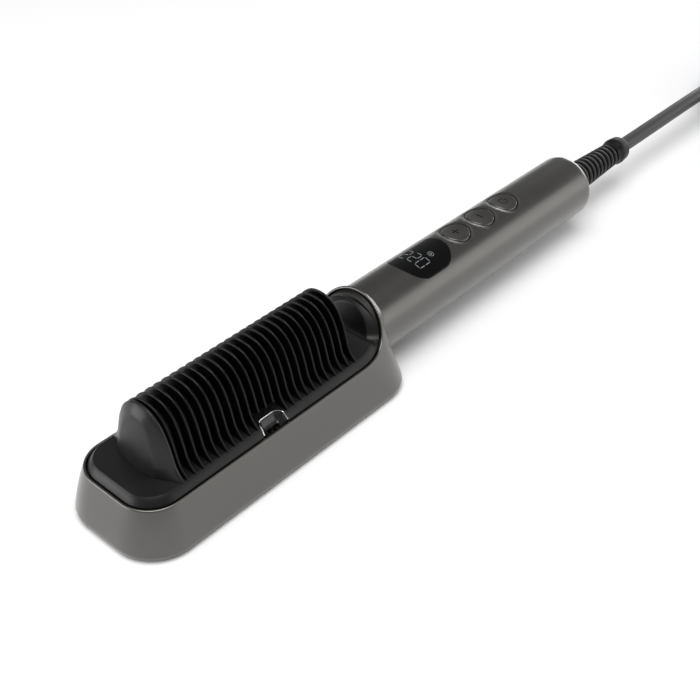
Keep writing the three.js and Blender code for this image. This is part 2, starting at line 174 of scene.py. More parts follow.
def turned_x(name, profile, sides=96, y=0.0, z=AXIS_Z, sharp_degrees=35):
    """A body of revolution about an axis along X, from (x, radius) pairs, with flat ends."""
    rows = []
    for x, radius in profile:
        rows.append([(x, y + radius * math.cos(a), z + radius * math.sin(a)) for a in full_turn(sides)])
    return loft(name, rows, sharp_degrees=sharp_degrees)


def post(name, x, y, radius, z0, z1, sides):
    rows = []
    for z in (z0, z1):
        rows.append([(x + radius * math.cos(a), y + radius * math.sin(a), z) for a in full_turn(sides)])
    return loft(name, rows)


def box(name, x0, x1, y0, y1, z0, z1):
    rows = [[(x0, y0, z), (x1, y0, z), (x1, y1, z), (x0, y1, z)] for z in (z0, z1)]
    return loft(name, rows)


def applied(obj):
    """Replaces an object's mesh with what its modifiers make of it."""
    graph = bpy.context.evaluated_depsgraph_get()
    mesh = bpy.data.meshes.new_from_object(obj.evaluated_get(graph))
    obj.modifiers.clear()
    obj.data = mesh
    return obj


def cut(obj, cutter, sharp_degrees=35):
    """Takes the cutter away from the object, and deletes the cutter."""
    step = obj.modifiers.new("cut", "BOOLEAN")
    step.operation = "DIFFERENCE"
    step.solver = "EXACT"
    step.object = cutter
    applied(obj)
    bpy.data.objects.remove(cutter)
    obj.data.shade_smooth()
    obj.data.set_sharp_from_angle(angle=math.radians(sharp_degrees))
    return obj


def bevelled(obj, width, segments):
    step = obj.modifiers.new("bevel", "BEVEL")
    step.width = width / 1000
    step.segments = segments
    step.limit_method = "ANGLE"
    step.angle_limit = math.radians(35)
    step.harden_normals = False
    applied(obj)
    obj.data.shade_smooth()
    obj.data.set_sharp_from_angle(angle=math.radians(50))
    return obj


def join(name, objects):
    work = bmesh.new()
    for obj in objects:
        work.from_mesh(obj.data)
        bpy.data.objects.remove(obj)
    mesh = bpy.data.meshes.new(name)
    work.to_mesh(mesh)
    work.free()
    mesh.shade_smooth()
    mesh.set_sharp_from_angle(angle=math.radians(35))
    return new_object(name, mesh)


def rounded_rectangle(x0, x1, half_width, corner, per_corner=16):
    """Outline points, counter-clockwise seen from above, starting at the +x end."""
    points = []
    side = half_width - corner
    centres = [(x1 - corner, side, 0), (x0 + corner, side, 90),
               (x0 + corner, -side, 180), (x1 - corner, -side, 270)]
    for cx, cy, start in centres:
        for i in range(per_corner + 1):
            a = math.radians(start + 90 * i / per_corner)
            points.append((cx + corner * math.cos(a), cy + corner * math.sin(a)))
    return points


# ---------------------------------------------------------------- materials
COAT_ROUGHNESS = 0.24
DRIFT_SCALE = 38.0
SMUDGE_SCALE = 90.0


def shader(name, color, rough, metal=0.0, specular=0.5, coat=0.0):
    material = bpy.data.materials.new(name)
    material.use_nodes = True
    node = material.node_tree.nodes["Principled BSDF"]
    node.inputs["Base Color"].default_value = (*color, 1)
    node.inputs["Roughness"].default_value = rough
    node.inputs["Metallic"].default_value = metal
    node.inputs["Specular IOR Level"].default_value = specular
    node.inputs["Coat Weight"].default_value = coat
    node.inputs["Coat Roughness"].default_value = COAT_ROUGHNESS
    return material, material.node_tree, node


def coordinates(tree, scale=(1, 1, 1)):
    source = tree.nodes.new("ShaderNodeTexCoord")
    mapping = tree.nodes.new("ShaderNodeMapping")
    mapping.inputs["Scale"].default_value = scale
    tree.links.new(source.outputs["Object"], mapping.inputs["Vector"])
    return mapping.outputs["Vector"]


def noise(tree, vector, scale, detail=3.0):
    node = tree.nodes.new("ShaderNodeTexNoise")
    node.inputs["Scale"].default_value = scale
    node.inputs["Detail"].default_value = detail
    tree.links.new(vector, node.inputs["Vector"])
    return node.outputs["Fac"]


def ramp_between(tree, factor, low, high, start=0.3, end=0.7):
    node = tree.nodes.new("ShaderNodeMapRange")
    node.inputs["From Min"].default_value = start
    node.inputs["From Max"].default_value = end
    node.inputs["To Min"].default_value = low
    node.inputs["To Max"].default_value = high
    tree.links.new(factor, node.inputs["Value"])
    return node.outputs["Result"]


def colour_between(tree, factor, low, high):
    node = tree.nodes.new("ShaderNodeMix")
    node.data_type = "RGBA"
    node.inputs["A"].default_value = (*low, 1)
    node.inputs["B"].default_value = (*high, 1)
    tree.links.new(factor, node.inputs["Factor"])
    return node.outputs["Result"]


def bump(tree, node, height, strength, distance):
    step = tree.nodes.new("ShaderNodeBump")
    step.inputs["Strength"].default_value = strength
    step.inputs["Distance"].default_value = distance
    tree.links.new(height, step.inputs["Height"])
    tree.links.new(step.outputs["Normal"], node.inputs["Normal"])


def grained(name, color, rough, metal=0.0, specular=0.5, coat=0.0, vary=0.12, rough_vary=0.05,
            grain=900.0, grain_depth=0.00002, strength=0.25, stretch=(1, 1, 1)):
    """A surface with slow colour and gloss drift and a fine moulded or sprayed grain."""
    material, tree, node = shader(name, color, rough, metal, specular, coat)
    plain = coordinates(tree)
    drift = noise(tree, plain, DRIFT_SCALE, 4.0)
    low = tuple(c * (1 - vary) for c in color)
    high = tuple(min(1.0, c * (1 + vary)) for c in color)
    tree.links.new(colour_between(tree, drift, low, high), node.inputs["Base Color"])
    smudge = noise(tree, plain, SMUDGE_SCALE, 5.0)
    gloss = ramp_between(tree, smudge, rough - rough_vary, rough + rough_vary)
    tree.links.new(gloss, node.inputs["Roughness"])
    fine = noise(tree, coordinates(tree, stretch), grain, 2.0)
    bump(tree, node, fine, strength, grain_depth)
    return material


GUNMETAL = grained("gunmetal_lacquer", (0.105, 0.102, 0.096), 0.35, metal=1.0, coat=0.6,
                   vary=0.03, rough_vary=0.02, grain=5200.0, strength=0.12, grain_depth=0.000012)
BEZEL_BLACK = grained("bezel_black", (0.0048, 0.0048, 0.0052), 0.40, specular=0.30,
                      grain=3600.0, strength=0.3)
FIN_BLACK = grained("comb_black", (0.0016, 0.0016, 0.0017), 0.30, specular=0.22,
                    grain=2600.0, strength=0.2)
CAP_BLACK = grained("cap_black", (0.0055, 0.0055, 0.0059), 0.38, specular=0.36,
                    grain=4200.0, strength=0.25)
HEATER_DARK = grained("heater_coating", (0.0015, 0.0015, 0.0016), 0.36, specular=0.2, grain=1800.0)
DISPLAY_BLACK = grained("display_gloss", (0.0015, 0.0015, 0.0018), 0.14, specular=0.2,
                        vary=0.05, rough_vary=0.02, grain=300.0, strength=0.02)
CUP_BLACK = grained("outlet_cup_black", (0.008, 0.008, 0.009), 0.25, specular=0.5, grain=1500.0)
BRIGHT = grained("bright_plating", (0.62, 0.62, 0.61), 0.2, metal=1.0, vary=0.04,
                 grain=2400.0, strength=0.1)
RUBBER = grained("black_rubber", (0.0035, 0.0035, 0.0037), 0.42, specular=0.2,
                 grain=2800.0, strength=0.35)
CORD_GREY = grained("cord_jacket", (0.028, 0.028, 0.0295), 0.44, specular=0.4,
                    grain=1400.0, strength=0.3, stretch=(0.2, 1, 1))
INNER_GREY = grained("inner_plastic", (0.24, 0.24, 0.23), 0.55, grain=1500.0)
BOARD_GREEN = grained("solder_mask", (0.02, 0.12, 0.05), 0.35, grain=700.0)
CERAMIC = grained("heating_ceramic", (0.72, 0.69, 0.62), 0.7, grain=2000.0, strength=0.5)


def digit_glow():
    material, tree, node = shader("digit_glow", (0.2, 0.21, 0.22), 0.4)
    flicker = noise(tree, coordinates(tree), 500.0, 1.0)
    glow = colour_between(tree, flicker, (0.17, 0.18, 0.19), (0.23, 0.24, 0.25))
    tree.links.new(glow, node.inputs["Base Color"])
    node.inputs["Emission Color"].default_value = (0.8, 0.86, 0.9, 1)
    node.inputs["Emission Strength"].default_value = 0.12
    return material


DIGIT_GLOW = digit_glow()


def place(obj, body, material, slot, *nodes):
    """Gives a finished piece its material and its body, and hides the CAD nodes that it stands for."""
    obj.data.materials.clear()
    obj.data.materials.append(material)
    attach(obj, body)
    if nodes:
        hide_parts(*nodes)
    return obj


# ---------------------------------------------------------------- camera and stage
def make_camera():
    """Stands at the head's near left, looking along the handle and down."""
    azimuth, elevation, roll = math.radians(41.64), math.radians(38.18), math.radians(0.23)
    level = math.cos(elevation)
    forward = Vector((level * math.cos(azimuth), level * math.sin(azimuth), -math.sin(elevation)))
    right = forward.cross(Vector((0, 0, 1))).normalized()
    right = Matrix.Rotation(-roll, 3, forward) @ right
    up = right.cross(forward)
    data = bpy.data.cameras.new("camera")
    data.lens = 58.44
    data.sensor_width = 36
    data.clip_start, data.clip_end = 0.01, 20
    camera = bpy.data.objects.new("camera", data)
    bpy.context.scene.collection.objects.link(camera)
    rotation = Matrix((right, up, -forward)).transposed()
    place_of_eye = Matrix.Translation(at(-146.42, -236.68, 269.68 + AXIS_Z))
    camera.matrix_world = place_of_eye @ rotation.to_4x4()
    bpy.context.scene.camera = camera


def soft_box(name, position, target, size, power):
    data = bpy.data.lights.new(name, "AREA")
    data.shape = "RECTANGLE"
    data.size, data.size_y = size
    data.energy = power
    light = bpy.data.objects.new(name, data)
    bpy.context.scene.collection.objects.link(light)
    light.location = position
    light.rotation_euler = (Vector(target) - Vector(position)).to_track_quat("-Z", "Y").to_euler()


def make_stage():
    mesh = bpy.data.meshes.new("floor")
    half, z = 6.0, -0.0004
    corners = [(-half, -half, z), (half, -half, z), (half, half, z), (-half, half, z)]
    mesh.from_pydata(corners, [], [(0, 1, 2, 3)])
    floor = new_object("floor", mesh)
    floor.data.materials.append(shader("floor_paper", (0.9, 0.9, 0.9), 0.9, specular=0.1)[0])
    world = bpy.data.worlds.new("studio")
    bpy.context.scene.world = world
    world.use_nodes = True
    background = world.node_tree.nodes["Background"]
    background.inputs["Color"].default_value = (1, 1, 1, 1)
    background.inputs["Strength"].default_value = 0.27
    soft_box("overhead", (-0.25, -0.2, 1.4), (0, 0, 0), (1.2, 1.2), 21)
    soft_box("front_right", (1.0, -1.3, 0.42), (0, 0, 0.02), (1.5, 0.9), 7)
    soft_box("left_back", (-1.2, 0.75, 0.3), (0, 0, 0.02), (1.0, 0.5), 10)
    soft_box("right_back", (1.2, 0.1, 0.16), (0.1, 0, 0.0), (0.9, 0.3), 4.5)
    bpy.context.scene.view_settings.view_transform = "Standard"


# ---------------------------------------------------------------- cord
def hank_section(turn, s):
    """Where a turn lies in the hank's section: its distance from the middle line, and its height.

    s runs from 0 to 4: the far run, the fold away from the handset, the near run, the other fold.
    The lead comes in on top, winds down the outside and in, and the last turn climbs up inside."""
    rise = smoothstep((s - 0.45) / 0.55)
    inwards = smoothstep((s - 2.0) / 0.6)
    drop = smoothstep((s - 2.6) / 0.8)
    if turn == 0:
        return FOLD_OUTER, CORD_D * (2.5 - drop)
    if turn == 1:
        return FOLD_OUTER, CORD_D * (1.5 - drop)
    if turn == 2:
        return lerp(FOLD_OUTER, FOLD_INNER, inwards), CORD_D * 0.5
    return FOLD_INNER, CORD_D * (0.5 + rise)


def hank_point(turn, s):
    across, z = hank_section(turn, s)
    leg = s % 1
    if s < 1:
        return lerp(HANK_X0, HANK_X1, leg), HANK_Y + across, z
    if s < 2:
        a = math.radians(90 - 180 * leg)
        return HANK_X1 + across * math.cos(a), HANK_Y + across * math.sin(a), z
    if s < 3:
        return lerp(HANK_X1, HANK_X0, leg), HANK_Y - across, z
    a = math.radians(-90 - 180 * leg)
    return HANK_X0 + across * math.cos(a), HANK_Y + across * math.sin(a), z


def double_bend(x0, y0, x1, y1, count):
    """Two equal arcs, from one line along X to another beside it."""
    length, shift = x1 - x0, y1 - y0
    radius = (length ** 2 + shift ** 2) / (4 * abs(shift))
    widest = math.asin(length / 2 / radius)
    points = []
    for i in range(count + 1):
        t = 2 * i / count
        a = widest * min(t, 2 - t)
        along, off = radius * math.sin(a), math.copysign(radius * (1 - math.cos(a)), shift)
        points.append((x0 + along, y0 + off) if t <= 1 else (x1 - along, y1 - off))
    return points


def cord_points():
    points = [(x, 0, AXIS_Z) for x in (RELIEF_END, 340, 360, 380)] + [(396, 0, 19.4)]
    shift = double_bend(406, 0, HANK_X0, HANK_Y + FOLD_OUTER, 8)
    points += [(x, y, lerp(19.2, CORD_D * 2.5, smoothstep(i / 6))) for i, (x, y) in enumerate(shift[:-1])]
    for turn in range(4):
        points += [hank_point(turn, i / 9) for i in range(36)]
    tail = double_bend(HANK_X0, HANK_Y + FOLD_INNER, PLUG_REAR_X, PLUG_Y, 8)
    points += [(x, y, lerp(CORD_D * 1.5, PLUG_Z, smoothstep(i / 6 - 0.2))) for i, (x, y) in enumerate(tail)]
    return points


def make_cord():
    points = cord_points()
    curve = bpy.data.curves.new("mains_cord", "CURVE")
    curve.dimensions = "3D"
    curve.bevel_depth = CORD_D / 2000
    curve.bevel_resolution = 6
    curve.use_fill_caps = True
    curve.resolution_u = 6
    spline = curve.splines.new("BEZIER")
    spline.bezier_points.add(len(points) - 1)
    for knot, point in zip(spline.bezier_points, points):
        knot.co = at(*point)
        knot.handle_left_type = knot.handle_right_type = "AUTO"
    cord = bpy.data.objects.new("mains_cord", curve)
    bpy.context.scene.collection.objects.link(cord)
    return place(cord, "handset", CORD_GREY, "cord_grey", "cord_run", "cord_tail", "cord_coil")


def make_plug():
    """A flat two-pin plug that lies inside the hank: soft-edged grip with a ribbed boot."""
    back, face = PLUG_REAR_X + 9, PLUG_REAR_X + PLUG_LENGTH
    rows = []
    for lift, inset in ((-6.8, 2.0), (-6.3, 0.8), (-5.2, 0.1), (0, 0), (5.2, 0.1), (6.3, 0.8), (6.8, 2.0)):
        outline = rounded_rectangle(back + inset, face - inset, PLUG_HALF_WIDTH - inset, 6 - inset * 0.6)
        rows.append([(x, y + PLUG_Y, PLUG_Z + lift) for x, y in outline])
    grip = loft("plug_grip", rows)
    ribs = [(PLUG_REAR_X, 4.9)]
    for i in range(5):
        x, radius = PLUG_REAR_X + 1.0 + 1.95 * i, 5.3 + 0.3 * i
        ribs += [(x, radius), (x + 0.4, radius), (x + 0.7, radius - 0.8), (x + 1.4, radius - 0.8)]
    ribs += [(PLUG_REAR_X + 11, 6.6), (PLUG_REAR_X + 12, 6.6)]
    boot = turned_x("plug_boot", ribs, 48, PLUG_Y, PLUG_Z)
    plug = place(join("mains_plug", [grip, boot]), "handset", RUBBER, "black_rubber", "plug_body")
    pins = []
    for index, side in enumerate((-1, 1)):
        ends = ((0.1, 2.4), (16.5, 2.4), (17.6, 2.3), (18.5, 1.9), (19, 1.2))
        profile = [(face + along, radius) for along, radius in ends]
        pin = turned_x(f"mains_pin_{index + 1}", profile, 32, PLUG_Y + side * PIN_SPACING / 2, PLUG_Z)
        pins.append(place(pin, "handset", BRIGHT, "bright_steel", f"plug_pin_{index + 1}"))
    return [plug, *pins]


def make_tie():
    """A soft strap over one side of the hank."""
    y0, y1 = HANK_Y - FOLD_OUTER - 3.5, HANK_Y - FOLD_INNER + 3.5
    middle = (HANK_X0 + HANK_X1) / 2
    outer = [(-1.4, 0.3), (-1.4, 19), (-1.0, 21.4), (0.6, 22.2)]
    inner = [(-0.3, 0.3), (-0.3, 19), (-0.2, 20.9), (0.8, 21.2)]
    outer = [(y0 + y, z) for y, z in outer] + [(y1 - y, z) for y, z in reversed(outer)]
    inner = [(y0 + y, z) for y, z in inner] + [(y1 - y, z) for y, z in reversed(inner)]
    rows = [[(middle + x, y, z) for y, z in outer + list(reversed(inner))] for x in (-5, 5)]
    strap = bevelled(loft("coil_tie", rows), 0.2, 2)
    return place(strap, "handset", RUBBER, "black_rubber", "cord_tie")


make_camera()
make_stage()
cord = make_cord()
plug_pieces = make_plug()
tie = make_tie()


# ---------------------------------------------------------------- head outlines
def lean_x(z):
    return LEAN_FOOT_X + LEAN * (z - RIM_Z)


def bezier(a, b, c, d, t):
    s = 1 - t
    return a * s ** 3 + b * 3 * s * s * t + c * 3 * s * t * t + d * t ** 3


def half_outline():
    """The groove line from the middle of the arch, down its far side and round to the middle of the tip.

    Each entry is a point and the normal of the surface that the rim lies in."""
    up = Vector((0, 0, 1))
    facing = Vector((-1, 0, LEAN)).normalized()
    entries = []
    foot = math.radians(ARCH_FOOT_DEGREES)
    for i in range(ARCH_STEPS):
        a = lerp(math.pi / 2, foot, i / ARCH_STEPS)
        z = AXIS_Z + ARCH_RADIUS * math.sin(a)
        entries.append((Vector((lean_x(z), ARCH_RADIUS * math.cos(a), z)), facing))
    end_z = AXIS_Z + ARCH_RADIUS * math.sin(foot)
    end = Vector((lean_x(end_z), ARCH_RADIUS * math.cos(foot), end_z))
    along = Vector((LEAN * math.cos(foot), -math.sin(foot), math.cos(foot))).normalized()
    side = Vector((SIDE_END_X, HEAD_HALF_WIDTH, RIM_Z))
    for i in range(FOOT_STEPS):
        t = i / FOOT_STEPS
        point = bezier(end, end - along * 5, side + Vector((10, 0, 0)), side, t)
        entries.append((point, facing.lerp(up, smoothstep(t * 1.5)).normalized()))
    for i in range(SIDE_STEPS):
        x = lerp(SIDE_END_X, HEAD_CORNER, i / SIDE_STEPS)
        entries.append((Vector((x, HEAD_HALF_WIDTH, RIM_Z)), up))
    for i in range(CORNER_STEPS):
        a = math.radians(90 + 90 * i / CORNER_STEPS)
        centre = Vector((HEAD_CORNER + 0.2, HEAD_HALF_WIDTH - HEAD_CORNER, RIM_Z))
        entries.append((centre + Vector((math.cos(a), math.sin(a), 0)) * HEAD_CORNER, up))
    for i in range(TIP_STEPS + 1):
        y = lerp(HEAD_HALF_WIDTH - HEAD_CORNER, 0, i / TIP_STEPS)
        entries.append((Vector((0.2, y, RIM_Z)), up))
    return entries


def full_outline():
    half = half_outline()
    flip = [(Vector((p.x, -p.y, p.z)), n.copy()) for p, n in reversed(half[1:-1])]
    return half + flip


OUTLINE = full_outline()


def outward(index):
    """Unit vector across the groove line, away from the middle of the head."""
    count = len(OUTLINE)
    ahead, behind = OUTLINE[(index + 1) % count][0], OUTLINE[index - 1][0]
    tangent = (ahead - behind).normalized()
    normal = OUTLINE[index][1]
    return normal.cross(tangent).normalized() * -1


OUTWARD = [outward(i) for i in range(len(OUTLINE))]


def offset_row(out, up):
    """The groove line moved outwards and along the local normal; the chamfer is wider on the arch."""
    row = []
    for (point, normal), across in zip(OUTLINE, OUTWARD):
        wider = 1.0 if out > -0.2 else 1 + CHAMFER_SPREAD * smoothstep((1 - normal.z) / ARCH_TILT)
        row.append(tuple(point + across * out * wider + normal * up))
    return row


def base_row(z, inset):
    """The head's outline low down, with one point for each point of the groove line."""
    half = []
    x0, x1 = SHELL_TIP + 0.1 + inset, SHELL_END - inset
    w, r = SHELL_HALF_WIDTH - inset, SHELL_CORNER - inset * 0.6
    split = 35.0  # degrees of the corner that lie below the arch
    for i in range(ARCH_STEPS):
        t = i / ARCH_STEPS
        if t < 0.45:
            half.append((x1, (w - r) * t / 0.45))
        else:
            a = math.radians(split * (t - 0.45) / 0.55)
            half.append((x1 - r + r * math.cos(a), w - r + r * math.sin(a)))
    for i in range(FOOT_STEPS):
        a = math.radians(lerp(split, 90, i / FOOT_STEPS))
        half.append((x1 - r + r * math.cos(a), w - r + r * math.sin(a)))
    for i in range(SIDE_STEPS):
        half.append((lerp(x1 - r, x0 + r, i / SIDE_STEPS), w))
    for i in range(CORNER_STEPS):
        a = math.radians(90 + 90 * i / CORNER_STEPS)
        half.append((x0 + r + r * math.cos(a), w - r + r * math.sin(a)))
    for i in range(TIP_STEPS + 1):
        half.append((x0, lerp(w - r, 0, i / TIP_STEPS)))
    full = half + [(x, -y) for x, y in reversed(half[1:-1])]
    return [(x, y, z) for x, y in full]


def between(row_a, row_b, t, swell=0.0):
    """A row part of the way from one row to another, bulged outwards in plan."""
    row = []
    for a, b, across in zip(row_a, row_b, OUTWARD):
        p = Vector(a).lerp(Vector(b), t) + across * swell * 4 * t * (1 - t)
        row.append(tuple(p))
    return row


def make_shell():
    rim = offset_row(GROOVE + LIP, -0.45)
    wide = base_row(BASE_ROUND_UP, 0.0)
    rows = [offset_row(GROOVE, -4.0), offset_row(GROOVE, -0.35), offset_row(GROOVE + 0.1, -0.12),
            offset_row(GROOVE + 0.3, 0.0), offset_row(GROOVE + 0.6, 0.02), offset_row(GROOVE + 0.85, -0.08),
            offset_row(GROOVE + 1.02, -0.24), rim]
    rows += [between(rim, wide, i / 24, 0.35) for i in range(1, 24)]
    rows += [wide]
    for degrees in (15, 30, 45, 60, 75, 90):
        a = math.radians(degrees)
        height = BASE_ROUND_UP - BASE_ROUND_UP * math.sin(a)
        rows.append(base_row(height, BASE_ROUND_IN * (1 - math.cos(a))))
    shell = loft("head_shell_skin", rows, sharp_degrees=60)
    for x in SCREW_X:
        cut(shell, post("screw_well", x, 0, SCREW_WELL_R, -1, 1.2, 48), sharp_degrees=60)
    return place(shell, "handset", GUNMETAL, "gunmetal", "head_shell")


def make_bezel():
    """Black frame: groove edge, chamfer, then the flat deck that turns up into the leaning wall."""
    rows = [offset_row(0.0, -3.5), offset_row(0.0, -0.15), offset_row(-0.06, 0.0),
            offset_row(-CHAMFER_IN * 0.5, CHAMFER_UP * 0.49),
            offset_row(-CHAMFER_IN + 0.03, CHAMFER_UP - 0.05),
            offset_row(-CHAMFER_IN - 0.05, CHAMFER_UP), offset_row(-CHAMFER_IN - 0.5, CHAMFER_UP)]
    inner = rows[-1]
    count = len(inner)
    points = [p for row in rows for p in row]
    faces = skin_faces(len(rows), count, count)
    faces += inner_floor(points, inner, (len(rows) - 1) * count)
    return mesh_of("head_bezel_skin", points, faces, 28)


def inner_floor(points, inner, base):
    """Faces that span the bezel's inner edge, in rungs from its near side to its far side."""
    count = len(inner)
    half = count // 2
    faces = []
    across = 10
    previous = None
    for i in range(1, half):
        a, b = Vector(inner[i]), Vector(inner[count - i])
        rung = [base + i]
        for k in range(1, across):
            points.append(tuple(a.lerp(b, k / across)))
            rung.append(len(points) - 1)
        rung.append(base + count - i)
        if previous:
            faces += [(previous[k], previous[k + 1], rung[k + 1], rung[k]) for k in range(across)]
        else:
            faces += [(base, rung[k], rung[k + 1]) for k in range(across)]
        previous = rung
    faces += [(previous[k], previous[k + 1], base + half) for k in range(across)]
    return faces


shell = make_shell()
bezel = make_bezel()


# ---------------------------------------------------------------- comb
def arch_half(sink=0.0):
    """Half of a comb plate's edge from crown to foot, as (half width, height above the axis)."""
    knots = [(0, 27.3), (2.8, 26.95), (5.6, 25.7), (9.2, 22.3), (11.9, 17.0), (13.6, 11.4), (14.5, 8.2),
             (15.7, 5.9), (17.0, 4.3), (18.0, 3.3)]
    return smooth_line([(max(0.0, y - sink), z - sink) for y, z in knots], 5)


def smooth_line(knots, per_span):
    """Catmull-Rom line through a few given knots."""
    line = []
    ends = [knots[0]] + knots + [knots[-1]]
    for i in range(1, len(ends) - 2):
        p0, p1, p2, p3 = (Vector(ends[k]) for k in (i - 1, i, i + 1, i + 2))
        for k in range(per_span):
            t = k / per_span
            point = 0.5 * (2 * p1 + (p2 - p0) * t + (2 * p0 - 5 * p1 + 4 * p2 - p3) * t * t
                           + (3 * p1 - p0 - 3 * p2 + p3) * t ** 3)
            line.append(tuple(point))
    return line + [knots[-1]]


def inner_line(line, width):
    """The line moved inwards by a width that thins out towards the feet."""
    inner = []
    for i, (y, z) in enumerate(line):
        before, after = Vector(line[max(0, i - 1)]), Vector(line[min(len(line) - 1, i + 1)])
        along = (after - before).normalized()
        inward = Vector((-along.y, along.x))
        if inward.dot(Vector((-y, 12 - z))) < 0:
            inward = -inward
        reach = width * min(1.0, 0.25 + (z - 3.3) / 5.0)
        inner.append((y + inward.x * reach, z + inward.y * reach))
    return inner


def arch_plate(name, x, thickness, sink, width, foot_z=None):
    """An arch-shaped plate with a thin, rounded outer edge; foot_z cuts the near leg short."""
    outer = arch_half(sink)
    line = [(-y, z) for y, z in reversed(outer[1:])] + outer
    inner = inner_line(line, width)
    if foot_z is not None:
        keep = [i for i, (y, z) in enumerate(line) if y > 0 or z > foot_z]
        line, inner = [line[i] for i in keep], [inner[i] for i in keep]
    half = thickness / 2
    edge = [(0.2, 0.0), (0.5, 0.08), (0.72, 0.36), (1.0, 1.3)]  # (share of half thickness, depth)
    section = [(-share * half, depth) for share, depth in reversed(edge)]
    section += [(share * half, depth) for share, depth in edge]
    rows = []
    for (y0, z0), (y1, z1) in zip(line, inner):
        span = max(0.6, math.hypot(y1 - y0, z1 - z0))
        row = [(x - half * 0.95, y1, AXIS_Z + z1)]
        for dx, depth in section:
            t = min(0.6, depth / span)
            row.append((x + dx, lerp(y0, y1, t), AXIS_Z + lerp(z0, z1, t)))
        row.append((x + half * 0.95, y1, AXIS_Z + z1))
        rows.append(row)
    return loft(name, rows, sharp_degrees=60)


def make_comb():
    for index in range(FIN_COUNT):
        x = FIN_FIRST_X + index * FIN_PITCH
        foot = 7.0 if index + 1 in SHORT_FINS else None
        fin = arch_plate(f"comb_plate_{index + 1:02d}", x, FIN_THICKNESS, 0.0, 4.2, foot)
        place(fin, "handset", FIN_BLACK, "matt_black", f"comb_fin_{index + 1:02d}")


def make_heater():
    """Heated body under the plates, with a low tooth in each gap."""
    outline = [(y, AXIS_Z + z) for y, z in arch_half(4.4) if z > 4]
    outline.append((outline[-1][0], 16.0))
    full = [(-y, z) for y, z in reversed(outline[1:])] + outline
    rows = [[(x, y, z) for y, z in full] for x in (18.4, 61, 104)]
    pieces = [loft("heater_body", rows)]
    for index in range(FIN_COUNT - 1):
        x = FIN_FIRST_X + (index + 0.5) * FIN_PITCH
        foot = 7.5 if index + 1 in SHORT_FINS else None
        pieces.append(arch_plate("heater_tooth", x, 0.9, 2.3, 2.6, foot))
    heater = join("heater_body_with_teeth", pieces)
    return place(heater, "handset", HEATER_DARK, "coated_aluminium", "heater_core")


def make_cap():
    """End of the comb: a soft-edged front facet and a wide slope back to the first plate."""
    back = arch_half(0.0)
    line = [(-y, z) for y, z in reversed(back[1:])] + back
    base_z = 3.1
    # each stage: x at the foot, x at the crown, width scale, height scale, share of the foot's flare
    stages = [
        (17.7, 17.7, 0.99, 0.985, 1.0), (17.1, 17.2, 1.0, 0.997, 1.0), (16.7, 16.9, 0.995, 0.994, 0.95),
        (16.3, 16.6, 0.975, 0.985, 0.85), (14.6, 15.6, 0.85, 0.93, 0.45), (12.9, 14.6, 0.72, 0.872, 0.15),
        (12.45, 14.3, 0.675, 0.852, 0.08), (12.2, 14.1, 0.64, 0.832, 0.04), (12.05, 13.95, 0.61, 0.81, 0.0),
        (11.95, 13.8, 0.57, 0.78, 0.0), (11.65, 13.0, 0.4, 0.56, 0.0), (11.4, 12.2, 0.2, 0.3, 0.0),
        (11.3, 11.5, 0.05, 0.08, 0.0)]
    rows = []
    for foot_x, crown_x, wide, tall, flare in stages:
        row = []
        for y, z in line:
            rise = (z - base_z) / (27.3 - base_z)
            limit = 14.6 + max(0.0, abs(y) - 14.6) * flare
            width = math.copysign(min(abs(y), limit), y) * wide
            row.append((lerp(foot_x, crown_x, rise), width, AXIS_Z + base_z + (z - base_z) * tall))
        rows.append(row)
    cap = loft("comb_front_cap", rows, sharp_degrees=60)
    return place(cap, "handset", CAP_BLACK, "matt_black", "front_cap")


make_comb()
make_heater()
make_cap()


# ---------------------------------------------------------------- ion outlet
def outlet_outline(inset):
    """U-shaped line round the port, open at the groove, as (x, y) from the tip side to the handle side."""
    x0, x1 = OUTLET_X0 + inset, OUTLET_X1 - inset
    front, back = -HEAD_HALF_WIDTH + 0.1, OUTLET_DEPTH - HEAD_HALF_WIDTH - inset
    corner = 3.4 - inset
    points = [(x0 - 0.3, front)]
    for i in range(9):
        a = math.radians(180 - 90 * i / 8)
        points.append((x0 + corner + corner * math.cos(a), back - corner + corner * math.sin(a)))
    for i in range(9):
        a = math.radians(90 - 90 * i / 8)
        points.append((x1 - corner + corner * math.cos(a), back - corner + corner * math.sin(a)))
    points.append((x1 + 0.3, front))
    return points


def chamfer_z(y):
    """Height of the bezel's top at a distance from the middle, on the near side."""
    return min(DECK_Z, RIM_Z + (y + HEAD_HALF_WIDTH) * CHAMFER_UP / CHAMFER_IN)


